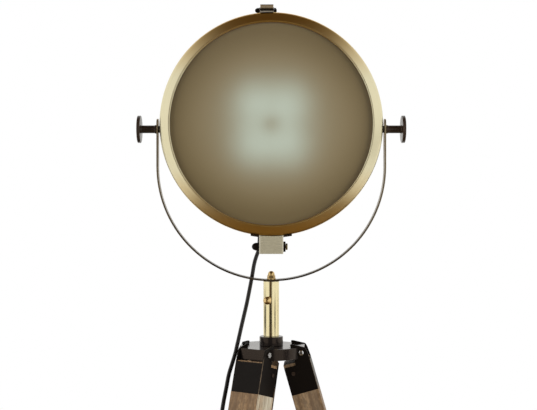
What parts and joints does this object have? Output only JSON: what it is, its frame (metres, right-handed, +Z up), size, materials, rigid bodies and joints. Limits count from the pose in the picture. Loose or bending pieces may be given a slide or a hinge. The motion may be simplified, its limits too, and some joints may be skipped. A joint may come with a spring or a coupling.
{
  "type": "tripod spotlight floor lamp",
  "caption": "Drum spotlight with a hinged glass door, hung in a flat-bar yoke on a short mast over a folding wooden tripod, with its cord clipped down one leg.",
  "frame": {"origin": "centre of the object's box on the floor, measured without the cord, its coil, switch and plug; the mast stands 67 mm to the left of it and 8 mm ahead", "axes": "+Z up, the glass faces -Y, +X to the right as seen from in front"},
  "size_m": [0.5655, 0.6226, 1.5484],
  "materials": {
    "ring_brass": "satin, aged, darker on top and bottom",
    "bright_brass": "polished",
    "dark_bronze": "dark bronze, semi-gloss",
    "shell_bronze": "aged bronze, satin",
    "brushed_brass": "brushed, warm",
    "black_iron": "gloss black",
    "black_rubber": "matte",
    "black_plastic": "gloss",
    "cord_black": "semi-gloss",
    "steel": "polished",
    "smoked_glass": "polished, smoked",
    "bulb_frost": "frosted",
    "mirror_bowl": "polished",
    "limed_wood": "weathered, limed"
  },
  "bodies": {
    "stand": {"mast_tube": "bright_brass", "mast_plug": "steel", "collar": "black_iron", "hub": "black_iron", "hub_bolt": "steel", "cord_neck": "cord_black", "cord_floor": "cord_black", "cord_coil": "cord_black", "cord_tail": "cord_black", "cord_tie": "black_plastic", "plug": "black_plastic", "foot_switch": "black_plastic"},
    "yoke_frame": {"yoke": "shell_bronze", "yoke_stem": "steel", "dome_nut": "bright_brass", "cord_head": "cord_black"},
    "head": {"shell": "shell_bronze", "trunnion_plates": "shell_bronze", "rear_cap": "shell_bronze", "rear_cap_screws": "steel", "reflector": "mirror_bowl", "lamp_holder": "black_plastic", "holder_bracket": "steel", "bulb_glass": "bulb_frost", "bulb_cap": "steel", "cable_gland": "black_plastic", "pivot_studs": "steel", "spacers": "black_rubber", "hinge_plate": "dark_bronze", "latch_base": "dark_bronze", "latch_bolt": "black_iron"},
    "door": {"bezel": "ring_brass", "lens": "smoked_glass", "lens_gasket": "black_rubber", "lens_clips": "steel", "hinge_bracket": "brushed_brass", "hinge_bolt": "bright_brass", "hinge_caps": "black_iron"},
    "latch": {"latch_lever": "bright_brass"},
    "left_knob": {"knob_left": "dark_bronze"},
    "right_knob": {"knob_right": "dark_bronze"},
    "lock_screw": {"set_screw": "bright_brass"},
    "leg_right": {"wood_right": "limed_wood", "bracket_right": "black_iron", "pivot_bolt_right": "steel", "screws_right": "dark_bronze", "foot_right": "black_rubber"},
    "leg_front": {"wood_front": "limed_wood", "bracket_front": "black_iron", "pivot_bolt_front": "steel", "screws_front": "dark_bronze", "foot_front": "black_rubber", "cord_clips": "black_rubber", "cord_leg": "cord_black"},
    "leg_rear": {"wood_rear": "limed_wood", "bracket_rear": "black_iron", "pivot_bolt_rear": "steel", "screws_rear": "dark_bronze", "foot_rear": "black_rubber"},
    "button": {"switch_button": "steel"}
  },
  "joints": [
    {"name": "yoke_pan", "type": "hinge", "parent": "stand", "child": "yoke_frame", "pos_m": [-0.0669, -0.00791, 1.1106], "axis": [0, 0, 1], "range_deg": [-60, 60], "deforming": ["cord_neck"]},
    {"name": "head_tilt", "type": "hinge", "parent": "yoke_frame", "child": "head", "pos_m": [-0.0669, -0.00791, 1.3522], "axis": [-1, 0, 0], "range_deg": [-45, 45], "deforming": ["cord_head"]},
    {"name": "door_open", "type": "hinge", "parent": "head", "child": "door", "pos_m": [-0.0669, -0.01991, 1.1657], "axis": [1, 0, 0], "range_deg": [0, 95]},
    {"name": "latch_swing", "type": "hinge", "parent": "head", "child": "latch", "pos_m": [-0.0739, -0.00791, 1.5412], "axis": [-1, 0, 0], "range_deg": [0, 60]},
    {"name": "knob_left_turn", "type": "hinge", "parent": "head", "child": "left_knob", "pos_m": [-0.2669, -0.00791, 1.3522], "axis": [-1, 0, 0], "range_deg": [-180, 180]},
    {"name": "knob_right_turn", "type": "hinge", "parent": "head", "child": "right_knob", "pos_m": [0.1331, -0.00791, 1.3522], "axis": [1, 0, 0], "range_deg": [-180, 180]},
    {"name": "lock_screw_turn", "type": "hinge", "parent": "stand", "child": "lock_screw", "pos_m": [-0.0669, -0.00791, 1.0811], "axis": [-0.309, -0.9511, 0], "range_deg": [-180, 180]},
    {"name": "leg_right_fold", "type": "hinge", "parent": "stand", "child": "leg_right", "pos_m": [-0.01896, -0.01043, 1], "axis": [0.0523, 0.9986, 0], "range_deg": [0, 16]},
    {"name": "leg_front_fold", "type": "hinge", "parent": "stand", "child": "leg_front", "pos_m": [-0.09304, -0.04817, 1], "axis": [0.8387, -0.5446, 0], "range_deg": [0, 16], "deforming": ["cord_leg", "cord_floor"]},
    {"name": "leg_rear_fold", "type": "hinge", "parent": "stand", "child": "leg_rear", "pos_m": [-0.08869, 0.03485, 1], "axis": [-0.891, -0.454, 0], "range_deg": [0, 16]},
    {"name": "switch_press", "type": "slide", "parent": "stand", "child": "button", "axis": [0, 0, -1], "range_m": [0, 0.003], "stiffness_N_per_m": 400}
  ]
}
